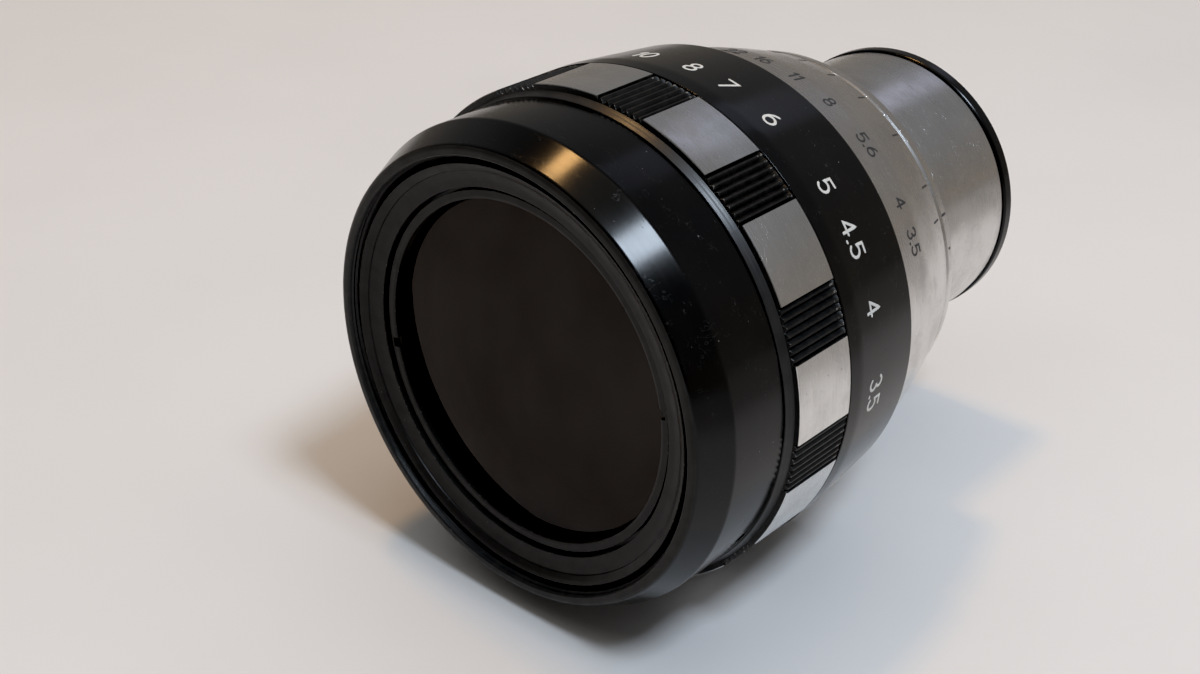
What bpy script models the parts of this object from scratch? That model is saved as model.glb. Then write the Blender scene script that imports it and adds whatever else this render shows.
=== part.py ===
"""Prime camera lens with a zebra focusing ring and a silver aperture ring.

Frame: the optical axis lies along Y, the front of the lens faces -Y, +Z is up.
The origin is the centre of the rear seating face. Lengths below are in
millimetres and angles in degrees; turn angles run from +X towards +Z, which is
anticlockwise as the front of the lens is faced. Sizes become metres when the
meshes are made.
"""
import math

import bmesh
import bpy
from mathutils import Matrix, Vector

MM = 0.001
GAP = 0.3                    # clearance between neighbouring pieces
OUTER_SIDES = 48             # facets around the large visible rings
INNER_SIDES = 30             # facets around the pieces inside
SMALL_SIDES = 8              # facets around screws and pins

# Driving dimensions: axial stations, measured from the rear seating face
FRONT_FACE = -91.5
BEVEL_REAR = -86.6
FRONT_BARREL_REAR = -76.8
GRIP_FRONT = -75.5
GRIP_REAR = -64.8
FOCUS_REAR = -48.1
APERTURE_RING_FRONT = -47.1
APERTURE_RING_REAR = -30.8
INDEX_RING_FRONT = -30.5
INDEX_RING_REAR = -27.8
BARREL_REAR = -30.0
RIM_FRONT = -2.2

# Driving dimensions: radii
LIP_RADIUS = 32.3
BARREL_RADIUS = 34.4
PAD_RADIUS = 35.9
NUMBER_RING_REAR_RADIUS = 34.5
THREAD_RADIUS = 30.5
TUBE_RADIUS = 22.2
RIM_RADIUS = 22.4
FRONT_CLEAR_RADIUS = 24.4

# The nested sleeves, from the outside in
HELICOID_OUTER = 33.4
HELICOID_INNER = 31.6
SLEEVE_OUTER = 31.3
SLEEVE_INNER = 28.7
GUIDE_OUTER = 28.3
GUIDE_INNER = 26.7
BARREL_OUTER = 28.0
CELL_FLANGE = 26.9
CELL_OUTER = 24.5

# Grip ring
PAD_COUNT = 12
PAD_PITCH = 360 / PAD_COUNT
PAD_PHASE = 5.6              # turn angle of the first land's middle
PAD_HALF_ANGLE = 8.8
RIDGES_PER_GAP = 7
RIDGE_DEPTH = 0.8

# Small fixings on the lens head
BARREL_SCREW_ANGLE = -29.5
NOTCH_ANGLE = 9

# Guide keys that stop the lens head from turning
KEY_ANGLES = (20, 200)
KEY_STATION = -64.5

# Iris
BLADE_COUNT = 8
BLADE_PITCH = 360 / BLADE_COUNT
PIVOT_RADIUS = 20.5
BLADE_INNER = 14.3
BLADE_OUTER = 22.6
BLADE_END_RADIUS = 2.3
BLADE_SPAN = 138
BLADE_TAPER_SPAN = 16
DRIVE_PIN_ANGLE = 132
DRIVE_PIN_RADIUS = 18.5
BLADE_THICKNESS = 0.16
BLADE_RISE = 1.2 / BLADE_PITCH   # rise per degree, so that neighbours interleave
IRIS_FLOOR = -64.4           # where a blade's pivot end starts
IRIS_OPENING = 14.0
APERTURE_TURN = 70           # closing turns it clockwise, to smaller turn angles
DRIVE_ANGLE = 240            # turn angle of the fork, on the far side


def new_material(name, colour, roughness, metallic):
    material = bpy.data.materials.new(name)
    material.use_nodes = True
    shader = material.node_tree.nodes["Principled BSDF"]
    shader.inputs["Base Color"].default_value = (*colour, 1.0)
    shader.inputs["Roughness"].default_value = roughness
    shader.inputs["Metallic"].default_value = metallic
    return material


def turned(radius, angle, station):
    """Point at a radius and turn angle (degrees) at a station on the axis."""
    a = math.radians(angle)
    return Vector((radius * math.cos(a), station, radius * math.sin(a)))


def finish(name, mesh_builder, material, parent):
    """Turn a bmesh drawn in millimetres into a named, smooth-shaded object."""
    bmesh.ops.recalc_face_normals(mesh_builder, faces=mesh_builder.faces)
    bmesh.ops.scale(mesh_builder, vec=(MM, MM, MM), verts=mesh_builder.verts)
    mesh = bpy.data.meshes.new(name)
    mesh_builder.to_mesh(mesh)
    mesh_builder.free()
    mesh.shade_smooth()
    mesh.set_sharp_from_angle(angle=math.radians(35))
    thing = bpy.data.objects.new(name, mesh)
    bpy.context.scene.collection.objects.link(thing)
    if material:
        mesh.materials.append(material)
    if parent:
        thing.parent = parent
    return thing


def add_revolved(builder, profile, sides, start=0.0, sweep=360.0):
    """Revolve a closed outline of (station, radius) points about the Y axis."""
    full = abs(sweep) >= 360
    columns = sides if full else sides + 1
    rings = []
    for column in range(columns):
        angle = start + sweep * column / sides
        ring = []
        for index, (station, radius) in enumerate(profile):
            if radius == 0 and column:
                ring.append(rings[0][index])
            else:
                ring.append(builder.verts.new(turned(radius, angle, station)))
        rings.append(ring)
    for column in range(sides):
        here, there = rings[column], rings[(column + 1) % columns]
        for index in range(len(profile)):
            after = (index + 1) % len(profile)
            corners = (here[index], here[after], there[after], there[index])
            face = list(dict.fromkeys(corners))
            if len(face) > 2:
                builder.faces.new(face)
    if not full:
        builder.faces.new(rings[0])
        builder.faces.new(rings[-1])


def lathe(name, profile, sides, material, parent):
    builder = bmesh.new()
    add_revolved(builder, profile, sides)
    return finish(name, builder, material, parent)


def ring(name, front, rear, inner, outer, sides, material, parent):
    profile = [(front, inner), (front, outer), (rear, outer), (rear, inner)]
    return lathe(name, profile, sides, material, parent)


def add_radial_rod(builder, rod_radius, inner, outer, angle, station):
    """A round rod lying along a radius, between two distances from the axis."""
    spin = Matrix.Rotation(math.radians(-angle), 4, 'Y')
    stand = Matrix.Rotation(math.radians(90), 4, 'Y')
    place = Matrix.Translation(((inner + outer) / 2, station, 0))
    bmesh.ops.create_cone(builder, cap_ends=True, segments=SMALL_SIDES, radius1=rod_radius,
                          radius2=rod_radius, depth=outer - inner, matrix=spin @ place @ stand)


def add_axial_rod(builder, rod_radius, front, rear, centre):
    """A round rod parallel to the optical axis."""
    stand = Matrix.Rotation(math.radians(90), 4, 'X')
    place = Matrix.Translation((centre[0], (front + rear) / 2, centre[1]))
    bmesh.ops.create_cone(builder, cap_ends=True, segments=SMALL_SIDES, radius1=rod_radius,
                          radius2=rod_radius, depth=rear - front, matrix=place @ stand)


def add_radial_block(builder, inner, outer, front, rear, width, angle):
    """A rectangular block that points outwards at a turn angle."""
    spin = Matrix.Rotation(math.radians(-angle), 4, 'Y')
    place = Matrix.Translation(((inner + outer) / 2, (front + rear) / 2, 0))
    size = Matrix.Diagonal((outer - inner, rear - front, width, 1))
    bmesh.ops.create_cube(builder, size=1, matrix=spin @ place @ size)


def tool(name, builder):
    """A hidden cutter or former for a Boolean."""
    shape = finish(name, builder, None, None)
    shape.hide_render = True
    shape.display_type = 'WIRE'
    return shape


def combine(thing, shape, operation='DIFFERENCE'):
    modifier = thing.modifiers.new(shape.name, 'BOOLEAN')
    modifier.operation = operation
    modifier.solver = 'EXACT'
    modifier.object = shape


def radial_holes(thing, hole_radius, inner, outer, angles, station):
    builder = bmesh.new()
    for angle in angles:
        add_radial_rod(builder, hole_radius, inner, outer, angle, station)
    combine(thing, tool(f"{thing.name}_holes", builder))


def radial_screw(name, shank_radius, inner, outer, angle, station, material, parent):
    builder = bmesh.new()
    add_radial_rod(builder, shank_radius, inner, outer, angle, station)
    return finish(name, builder, material, parent)


def axis_empty(name, parent=None):
    empty = bpy.data.objects.new(name, None)
    bpy.context.scene.collection.objects.link(empty)
    empty.parent = parent
    return empty


def lens_surface(edge_station, sag, edge_radius, steps=4):
    """Points from the axis to the edge of a spherical surface."""
    if sag == 0:
        return [(edge_station, 0.0), (edge_station, edge_radius)]
    curve = (edge_radius ** 2 + sag ** 2) / (2 * sag)
    points = []
    for step in range(steps + 1):
        radius = edge_radius * step / steps
        fall = curve - math.copysign(math.sqrt(curve ** 2 - radius ** 2), curve)
        points.append((edge_station - sag + fall, radius))
    return points


def element(name, front, front_sag, rear, rear_sag, radius, material, parent):
    """A glass element; a positive sag bulges a surface towards the front."""
    front_side = lens_surface(front, front_sag, radius)
    rear_side = lens_surface(rear, rear_sag, radius)
    return lathe(name, front_side + rear_side[::-1], INNER_SIDES, material, parent)


# ---------------------------------------------------------------- the fixed barrel

def build_fixed(body, looks):
    """Guide tube, main barrel and its rear flange, rear tube, rims, keys and baffle."""
    barrel = lathe("main_barrel", [
        (-49.4, GUIDE_INNER), (-49.4, 33.0), (-47.7, 33.0), (-47.7, BARREL_OUTER),
        (BARREL_REAR, BARREL_OUTER), (BARREL_REAR, GUIDE_INNER),
    ], OUTER_SIDES, looks["anodised"], body)
    lathe("rear_flange", [
        (BARREL_REAR + GAP, 18.8), (BARREL_REAR + GAP, BARREL_OUTER), (-27.9, BARREL_OUTER),
        (-27.9, 20.3), (-20.0, 20.3), (-20.0, 18.8),
    ], OUTER_SIDES, looks["anodised"], body)
    slot = bmesh.new()
    slot_profile = [(-43.5, 25.0), (-43.5, 28.8), (-38.5, 28.8), (-38.5, 25.0)]
    add_revolved(slot, slot_profile, 20, DRIVE_ANGLE + 7, -APERTURE_TURN - 14)
    combine(barrel, tool("main_barrel_slot", slot))

    guide = ring("guide_tube", -76.0, -49.7, GUIDE_INNER, GUIDE_OUTER, OUTER_SIDES,
                 looks["brass"], body)
    radial_holes(guide, 0.9, GUIDE_INNER - 1, GUIDE_OUTER + 1, KEY_ANGLES, KEY_STATION)
    for number, angle in enumerate(KEY_ANGLES, 1):
        block = bmesh.new()
        add_radial_block(block, GUIDE_OUTER + GAP, 30.9, KEY_STATION - 4, KEY_STATION + 4,
                         2.8, angle)
        key = finish(f"guide_key_{number}", block, looks["steel"], body)
        radial_holes(key, 0.9, GUIDE_OUTER - 1, 32, [angle], KEY_STATION)
        radial_screw(f"key_screw_{number}", 0.6, 27.0, 30.7, angle, KEY_STATION,
                     looks["steel"], body)
    ring("thrust_ring", -58.9, -57.4, 28.6, 30.9, OUTER_SIDES, looks["brass"], body)

    lathe("index_ring", [
        (INDEX_RING_FRONT, 28.3), (INDEX_RING_FRONT, 28.9), (-29.9, 29.1),
        (-28.3, 28.7), (INDEX_RING_REAR, 28.3),
    ], OUTER_SIDES, looks["satin"], body)
    ring("rear_tube", -27.6, -2.5, 20.6, TUBE_RADIUS, OUTER_SIDES, looks["satin"], body)
    lathe("rear_rim", [
        (RIM_FRONT, 19.4), (RIM_FRONT, 22.1), (-1.9, RIM_RADIUS), (-0.3, RIM_RADIUS),
        (0, 22.1), (0, 19.4),
    ], OUTER_SIDES, looks["anodised"], body)
    lathe("rear_baffle", [
        (-17.5, 15.6), (-17.5, 20.2), (-16.9, 20.2), (-16.9, 16.2), (-4.0, 18.2),
        (-4.0, 17.6),
    ], INNER_SIDES, looks["matt"], body)
    add_focus_stop(body, looks)


def add_focus_stop(body, looks):
    """A pin that runs in the groove in the helicoid ring's rear face."""
    builder = bmesh.new()
    spot = turned(31.0, 150, 0)
    add_axial_rod(builder, 0.7, -51.2, -49.7, (spot.x, spot.z))
    finish("focus_stop_pin", builder, looks["steel"], body)


# ---------------------------------------------------------------- the focusing ring

def grip_outline():
    """Radius against turn angle around the grip ring: flat lands, then V ridges."""
    outline = []
    gap_angle = PAD_PITCH - 2 * PAD_HALF_ANGLE
    root = PAD_RADIUS - RIDGE_DEPTH
    for pad in range(PAD_COUNT):
        middle = PAD_PHASE + pad * PAD_PITCH
        for part in (-1, -0.34, 0.34, 1):
            outline.append((middle + part * PAD_HALF_ANGLE, PAD_RADIUS))
        for tooth in range(RIDGES_PER_GAP):
            start = middle + PAD_HALF_ANGLE + gap_angle * tooth / RIDGES_PER_GAP
            step = gap_angle / RIDGES_PER_GAP
            outline.append((start + step * 0.5, root))
            if tooth < RIDGES_PER_GAP - 1:
                outline.append((start + step, PAD_RADIUS - 0.15))
    return outline


def build_grip_ring(body, material):
    """An extruded gear-like outline with a round bore."""
    builder = bmesh.new()
    outline = grip_outline()
    loops = []
    for station in (GRIP_FRONT, GRIP_REAR):
        loops.append([builder.verts.new(turned(r, a, station)) for a, r in outline])
    bore = HELICOID_OUTER + GAP
    for station in (GRIP_REAR, GRIP_FRONT):
        loops.append([builder.verts.new(turned(bore, a, station)) for a, _ in outline])
    count = len(outline)
    for index in range(len(loops)):
        one, other = loops[index], loops[(index + 1) % len(loops)]
        for k in range(count):
            nxt = (k + 1) % count
            builder.faces.new((one[k], one[nxt], other[nxt], other[k]))
    return finish("grip_ring", builder, material, body)


def build_focus(body, looks):
    """Grip ring, number ring and helicoid ring turn together."""
    grip = build_grip_ring(body, looks["zebra"])
    lathe("distance_ring", [
        (GRIP_REAR + GAP, 33.7), (GRIP_REAR + GAP, PAD_RADIUS), (-62.0, PAD_RADIUS),
        (FOCUS_REAR, NUMBER_RING_REAR_RADIUS), (FOCUS_REAR, 33.7),
    ], OUTER_SIDES, looks["paint"], body)
    helicoid = lathe("helicoid_ring", [
        (-76.4, HELICOID_INNER), (-76.4, HELICOID_OUTER), (-49.7, HELICOID_OUTER),
        (-49.7, SLEEVE_INNER), (-57.1, SLEEVE_INNER), (-57.1, HELICOID_INNER),
    ], OUTER_SIDES, looks["brass"], body)
    groove = bmesh.new()
    add_revolved(groove, [(-51.6, 29.9), (-51.6, 32.1), (-49.0, 32.1), (-49.0, 29.9)],
                 40, 150 - 6 - 280, 280 + 12)
    combine(helicoid, tool("helicoid_ring_groove", groove))

    screw_angles = [PAD_PHASE + PAD_PITCH * (n + 0.5) for n in (5, 9)]
    middle = (GRIP_FRONT + GRIP_REAR) / 2
    radial_holes(grip, 0.9, 33.0, 37.0, screw_angles, middle)
    radial_holes(helicoid, 0.9, 32.6, 34.0, screw_angles, middle)
    for number, angle in enumerate(screw_angles, 1):
        radial_screw(f"grip_screw_{number}", 0.6, 32.9, 34.7, angle, middle,
                     looks["steel"], body)


# ---------------------------------------------------------------- the aperture ring

def build_aperture_ring(body, looks):
    """The silver ring and the fork that reaches in to the iris."""
    silver = lathe("aperture_ring", [
        (APERTURE_RING_FRONT, 28.4), (APERTURE_RING_FRONT, 33.3), (-40.5, 32.2),
        (-34.4, 30.5), (APERTURE_RING_REAR, 29.3), (APERTURE_RING_REAR, 28.4),
    ], OUTER_SIDES, looks["satin"], body)
    screw_station = -41.0
    radial_holes(silver, 1.0, 27.6, 34.0, [DRIVE_ANGLE], screw_station)

    strip = bmesh.new()
    add_radial_block(strip, 25.1, 26.2, -71.5, -38.8, 5.4, DRIVE_ANGLE)
    fork = finish("aperture_fork", strip, looks["steel"], body)
    tab = bmesh.new()
    add_radial_block(tab, 25.4, 28.1, -43.2, -38.8, 4.0, DRIVE_ANGLE)
    combine(fork, tool("aperture_fork_tab", tab), 'UNION')
    notch = bmesh.new()
    add_radial_block(notch, 24.0, 27.0, -73.0, -57.2, 2.4, DRIVE_ANGLE)
    combine(fork, tool("aperture_fork_notch", notch))
    radial_holes(fork, 1.0, 24.5, 29.0, [DRIVE_ANGLE], screw_station)
    radial_screw("fork_screw", 0.7, 25.5, 31.8, DRIVE_ANGLE, screw_station,
                 looks["steel"], body)


# ---------------------------------------------------------------- the lens head

def build_head_barrel(body, looks):
    """The black front barrel, the male helicoid inside it and their screws."""
    shell = lathe("front_barrel", [
        (FRONT_FACE, 30.8), (FRONT_FACE, 31.7), (-91.2, LIP_RADIUS),
        (BEVEL_REAR, BARREL_RADIUS), (-77.0, BARREL_RADIUS), (FRONT_BARREL_REAR, 34.2),
        (FRONT_BARREL_REAR, 31.6), (-84.2, 31.6), (-84.2, 27.2), (-87.4, 27.2),
        (-87.4, THREAD_RADIUS), (-91.2, THREAD_RADIUS),
    ], OUTER_SIDES, looks["paint"], body)
    screw_angles = (BARREL_SCREW_ANGLE, BARREL_SCREW_ANGLE + 180)
    screw_station = -78.8
    radial_holes(shell, 0.9, 31.0, 35.5, screw_angles, screw_station)

    sleeve = lathe("male_helicoid", [
        (-83.9, 27.2), (-83.9, SLEEVE_OUTER), (-59.3, SLEEVE_OUTER), (-59.3, SLEEVE_INNER),
        (-80.4, SLEEVE_INNER), (-80.4, 27.2),
    ], OUTER_SIDES, looks["brass"], body)
    keyways = bmesh.new()
    for angle in KEY_ANGLES:
        add_radial_block(keyways, SLEEVE_INNER - 1, SLEEVE_OUTER + 1, -69.5, -58, 3.5, angle)
    combine(sleeve, tool("male_helicoid_keyways", keyways))
    for number, angle in enumerate(screw_angles, 1):
        radial_screw(f"barrel_screw_{number}", 0.6, 31.8, 33.8, angle, screw_station,
                     looks["steel"], body)


def build_front_trim(body, looks):
    """The dished grey ring inside the filter thread and the notched retaining ring."""
    lathe("front_trim_ring", [
        (-90.3, 28.6), (-90.5, 30.1), (-87.9, 30.1), (-87.9, 26.1), (-89.2, 26.1),
        (-89.6, 28.2),
    ], OUTER_SIDES, looks["grey"], body)
    retainer = ring("front_retaining_ring", -88.6, -87.3, FRONT_CLEAR_RADIUS, 25.6,
                    OUTER_SIDES, looks["grey"], body)
    notches = bmesh.new()
    for angle in (NOTCH_ANGLE, NOTCH_ANGLE + 180):
        add_radial_block(notches, 23.5, 25.2, -89.5, -87.9, 1.4, angle)
    combine(retainer, tool("front_retaining_ring_notches", notches))


def build_optics(body, looks):
    """The optical cell and what it holds in front of the iris."""
    lathe("optical_cell", [
        (-87.0, 25.3), (-87.0, CELL_FLANGE), (-79.8, CELL_FLANGE), (-79.8, CELL_OUTER),
        (-66.4, CELL_OUTER), (-66.4, 15.2), (-68.6, 15.2), (-68.6, 18.8), (-76.9, 18.8),
        (-76.9, 22.7), (-80.4, 22.7), (-80.4, 25.3),
    ], INNER_SIDES, looks["anodised"], body)
    element("front_element", -87.0, 2.6, -82.9, 0, 25.0, looks["glass"], body)
    ring("front_spacer", -82.6, -80.7, 22.0, 25.0, INNER_SIDES, looks["anodised"], body)
    element("second_element", -80.3, 1.8, -77.2, 0.9, 22.3, looks["glass"], body)
    ring("inner_retaining_ring", -76.6, -74.4, 15.8, 18.5, INNER_SIDES, looks["anodised"],
         body)
    element("third_element", -74.1, -1.2, -68.9, 2.0, 18.5, looks["glass"], body)


def build_rear_group(body, looks):
    """The rear cell behind the iris, its element and its retaining ring."""
    lathe("rear_cell", [
        (-56.8, 16.4), (-56.8, 23.1), (-54.8, 23.1), (-54.8, 19.8), (-37.0, 19.8),
        (-37.0, 18.0), (-45.5, 18.0), (-45.5, 16.4),
    ], INNER_SIDES, looks["anodised"], body)
    element("rear_element", -45.2, 1.4, -40.2, -1.6, 17.6, looks["glass"], body)
    ring("rear_retaining_ring", -39.9, -38.2, 16.2, 17.7, INNER_SIDES, looks["anodised"],
         body)


# ---------------------------------------------------------------- the iris

def pivot_angles():
    return [BLADE_PITCH * index for index in range(BLADE_COUNT)]


def build_iris_frame(body, looks):
    """The cup that carries the blades' pivots, and the plate that closes it."""
    cup = lathe("iris_housing", [
        (-66.1, IRIS_OPENING), (-66.1, CELL_OUTER), (-57.4, CELL_OUTER), (-57.4, 23.4),
        (-64.9, 23.4), (-64.9, IRIS_OPENING),
    ], INNER_SIDES, looks["matt"], body)
    cuts = bmesh.new()
    for angle in pivot_angles():
        spot = turned(PIVOT_RADIUS, angle, 0)
        add_axial_rod(cuts, 0.8, -67, -64, (spot.x, spot.z))
    add_revolved(cuts, [(-59.6, 22.9), (-59.6, 25.5), (-57.0, 25.5), (-57.0, 22.9)],
                 20, DRIVE_ANGLE + 4, -APERTURE_TURN - 8)
    combine(cup, tool("iris_housing_cuts", cuts))


def build_iris_drive(body, looks):
    """The slotted ring that swings the blades, with the lug that the fork pushes."""
    plate = ring("iris_drive_ring", -59.3, -57.7, 14.6, 23.0, INNER_SIDES, looks["brass"],
                 body)
    lug = bmesh.new()
    add_radial_block(lug, 21.5, 26.0, -59.2, -57.8, 1.8, DRIVE_ANGLE)
    combine(plate, tool("iris_drive_ring_lug", lug), 'UNION')
    slots = bmesh.new()
    for angle in pivot_angles():
        add_radial_block(slots, 13.0, 19.9, -60.5, -56.5, 2.6, angle - DRIVE_PIN_ANGLE)
    combine(plate, tool("iris_drive_ring_slots", slots))


def blade_rows():
    """(turn angle, inner radius, outer radius) along a blade, after its round end."""
    rows = []
    steps = 9
    for step in range(1, steps + 1):
        angle = BLADE_SPAN * step / steps
        taper = max(0.0, 1 - angle / BLADE_TAPER_SPAN)
        inner = BLADE_INNER + taper * (PIVOT_RADIUS - BLADE_END_RADIUS - BLADE_INNER)
        shave = 1.6 if step == steps else 0.0
        rows.append((angle, inner + shave, BLADE_OUTER - shave))
    return rows


def blade_outline():
    """The blade seen from the front: its inner edge out, its outer edge back."""
    rows = blade_rows()
    edge = [(angle, inner) for angle, inner, _ in rows]
    edge += [(angle, outer) for angle, _, outer in reversed(rows)]
    points = [turned(radius, -angle, IRIS_FLOOR + BLADE_RISE * angle) for angle, radius in edge]
    pivot = turned(PIVOT_RADIUS, 0, IRIS_FLOOR)
    for step in range(6):
        swing = math.radians(220 * step / 5 - 20)
        reach = Vector((math.cos(swing), 0, math.sin(swing))) * BLADE_END_RADIUS
        points.append(pivot + reach)
    return points, len(rows)


def blade_mesh():
    """One blade, a thin strip that climbs as it goes round, with a pin at each end."""
    points, row_count = blade_outline()
    pivot = turned(PIVOT_RADIUS, 0, 0)
    builder = bmesh.new()
    last = 2 * row_count - 1
    skins = []
    for lift in (0.0, BLADE_THICKNESS):
        skin = [builder.verts.new(p - pivot + Vector((0, lift, 0))) for p in points]
        for row in range(row_count - 1):
            builder.faces.new((skin[row], skin[row + 1], skin[last - row - 1], skin[last - row]))
        builder.faces.new([skin[0], skin[last]] + skin[last + 1:])
        skins.append(skin)
    under, over = skins
    for index in range(len(points)):
        nxt = (index + 1) % len(points)
        builder.faces.new((under[index], under[nxt], over[nxt], over[index]))
    return builder


def build_blades(bodies, looks):
    """Every blade shares one mesh and turns about its own pivot."""
    pattern = finish("iris_blade_1", blade_mesh(), looks["blade"], bodies[0])
    pins = bmesh.new()
    add_axial_rod(pins, 0.5, -65.9, IRIS_FLOOR + 0.08, (0, 0))
    pin_spot = turned(DRIVE_PIN_RADIUS, -DRIVE_PIN_ANGLE, 0) - turned(PIVOT_RADIUS, 0, 0)
    pin_start = IRIS_FLOOR + BLADE_RISE * DRIVE_PIN_ANGLE + 0.08
    add_axial_rod(pins, 0.5, pin_start, -58.2, (pin_spot.x, pin_spot.z))
    former = tool("iris_blade_pins", pins)
    former.parent = bodies[0]
    combine(pattern, former, 'UNION')
    whole = bpy.data.meshes.new_from_object(
        pattern.evaluated_get(bpy.context.evaluated_depsgraph_get()))
    pattern.modifiers.clear()
    bpy.data.objects.remove(former)
    whole.name = "iris_blade"
    pattern.data = whole
    blades = [pattern]
    for number in range(2, BLADE_COUNT + 1):
        blade = bpy.data.objects.new(f"iris_blade_{number}", whole)
        bpy.context.scene.collection.objects.link(blade)
        blade.parent = bodies[number - 1]
        blades.append(blade)
    for blade, angle in zip(blades, pivot_angles()):
        blade.rotation_euler = (0, math.radians(-angle), 0)


# ---------------------------------------------------------------- assembly

def clear_scene():
    for thing in list(bpy.data.objects):
        bpy.data.objects.remove(thing, do_unlink=True)


def main():
    clear_scene()
    looks = {
        "paint": new_material("black_paint", (0.012, 0.012, 0.013), 0.22, 0.0),
        "zebra": new_material("zebra_aluminium", (0.55, 0.55, 0.57), 0.32, 1.0),
        "satin": new_material("satin_aluminium", (0.62, 0.61, 0.60), 0.33, 1.0),
        "anodised": new_material("black_anodised", (0.02, 0.02, 0.022), 0.45, 0.6),
        "grey": new_material("worn_grey_anodised", (0.10, 0.095, 0.09), 0.5, 0.5),
        "matt": new_material("matt_black", (0.01, 0.01, 0.01), 0.8, 0.0),
        "brass": new_material("brass", (0.55, 0.42, 0.20), 0.35, 1.0),
        "steel": new_material("dark_steel", (0.25, 0.25, 0.26), 0.35, 1.0),
        "blade": new_material("blued_steel", (0.05, 0.05, 0.06), 0.4, 0.9),
        "glass": new_material("coated_glass", (0.30, 0.26, 0.25), 0.03, 0.0),
    }
    fixed = axis_empty("fixed_barrel")
    head = axis_empty("lens_head", fixed)
    build_fixed(fixed, looks)
    build_focus(axis_empty("focus_turn", fixed), looks)
    build_aperture_ring(axis_empty("aperture_turn", fixed), looks)
    build_head_barrel(head, looks)
    build_front_trim(head, looks)
    build_optics(head, looks)
    build_rear_group(head, looks)
    build_iris_frame(head, looks)
    build_iris_drive(axis_empty("iris_drive_turn", head), looks)
    pivots = []
    for number, angle in enumerate(pivot_angles(), 1):
        pivot = axis_empty(f"blade_pivot_{number}", head)
        pivot.location = turned(PIVOT_RADIUS, angle, 0) * MM
        pivots.append(pivot)
    build_blades(pivots, looks)


main()
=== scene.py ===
"""Visual model of a prime camera lens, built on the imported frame.

Every size here is in millimetres. The optical axis runs along Y with the front of the lens towards -Y.
A station is a Y value, and a turn angle starts at +X and grows towards +Z, anticlockwise from the front.
"""

from math import atan2, ceil, copysign, cos, degrees, floor, hypot, inf, pi, radians, sin, sqrt, tan

import bmesh
import bpy
from mathutils import Matrix, Vector


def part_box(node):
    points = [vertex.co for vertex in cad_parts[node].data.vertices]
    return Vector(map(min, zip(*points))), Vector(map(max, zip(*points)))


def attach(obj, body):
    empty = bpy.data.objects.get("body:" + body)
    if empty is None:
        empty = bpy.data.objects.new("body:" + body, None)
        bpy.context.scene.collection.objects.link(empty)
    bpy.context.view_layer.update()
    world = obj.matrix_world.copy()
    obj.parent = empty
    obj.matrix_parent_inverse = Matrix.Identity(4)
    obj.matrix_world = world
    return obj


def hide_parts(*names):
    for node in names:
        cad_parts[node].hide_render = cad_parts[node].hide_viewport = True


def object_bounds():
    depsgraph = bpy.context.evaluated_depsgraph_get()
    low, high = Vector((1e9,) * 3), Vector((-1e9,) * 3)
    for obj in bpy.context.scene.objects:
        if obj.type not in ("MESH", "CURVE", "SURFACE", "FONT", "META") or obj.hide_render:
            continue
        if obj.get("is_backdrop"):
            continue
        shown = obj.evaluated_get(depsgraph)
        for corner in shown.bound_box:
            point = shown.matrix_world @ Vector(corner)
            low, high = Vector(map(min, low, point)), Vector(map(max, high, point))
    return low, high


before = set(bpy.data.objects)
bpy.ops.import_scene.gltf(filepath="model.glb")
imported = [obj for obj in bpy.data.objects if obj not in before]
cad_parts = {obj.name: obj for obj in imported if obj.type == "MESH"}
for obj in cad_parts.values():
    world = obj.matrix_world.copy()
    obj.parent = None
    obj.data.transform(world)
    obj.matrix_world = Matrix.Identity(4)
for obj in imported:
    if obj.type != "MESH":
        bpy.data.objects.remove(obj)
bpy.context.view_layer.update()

MM = 0.001
FULL_TURN = 2 * pi
SEGMENTS = 240             # flats of a turned piece
ARC_STEPS = 4              # steps of a rounded corner
SUPPORT = 0.08             # width of the strip beside a rounded corner that wear may reach
SHARP_ANGLE = radians(35)

DISTANCE_FIGURE = 3.0      # heights of the figures
APERTURE_FIGURE = 2.3
DISTANCE_STROKE = 0.21     # half widths of the filled strokes
FOCUS_INDEX_STROKE = 0.18
APERTURE_STROKE = 0.17
TICK_STROKE = 0.15
INDEX_STROKE = 0.20
STROKE_HALF_DEPTH = 0.035
BEAD_STEP = 0.25           # longest straight step along a stroke
FIGURE_GAP = 0.22          # gap between figures, as a share of their height

FOCAL_LENGTH = 135.0
FOCUS_TRAVEL = 9.5
FOCUS_TURN = 270.0
FOCUS_INDEX = 150.5        # turn angle of the figure in focus, beside the second barrel screw
FOCUS_INDEX_LINE = 146.5   # turn angle of the white line on the barrel
DISTANCES = ["2", "2.5", "3", "3.5", "4", "4.5", "5", "6", "7", "8", "10", "20", "inf"]
APERTURE_INDEX = 23.0
APERTURES = {"3.5": 0, "4": 10, "5.6": 26, "8": 40, "11": 51, "16": 61, "22": 70}
ALIGNMENT_DOT = 13.0
SPANNER_NOTCHES = (9.0, 189.0)
REAR_NOTCHES = (90.0, 270.0)
KEYWAYS = (20.0, 200.0)
SCREW_HOLE = 0.9           # radius of the hole round a grub screw
FORK_SCREW_HOLE = 0.95

BLACK_LEVEL = 0.003        # light level that the picture shows as black
LIGHT_DISTANCE = 1400.0
TABLE_HALF_SIZE = 2500.0
PAINTED_SHADE_SIDE = (0.913, 0.409, 0.0)   # direction in which painted shade darkens the table
PAINTED_SHADE_RANGE = (82.0, 160.0)    # how far along that direction the painted shade starts and ends

LANDS = 12                 # bright lands of the grip
LAND_HALF_ANGLE = 8.8
FIRST_LAND = 5.6
RIDGES = 7                 # ridges between two lands
RIDGE_DEPTH = 0.65
RIDGE_DROP = 0.15          # the ridges' crests lie this much below the lands


# Frame


def reach_of(node):
    """The least and greatest distances of a CAD node's points from the optical axis."""
    radii = [hypot(v.co.x, v.co.z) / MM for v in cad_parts[node].data.vertices]
    return min(radii), max(radii)


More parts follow.
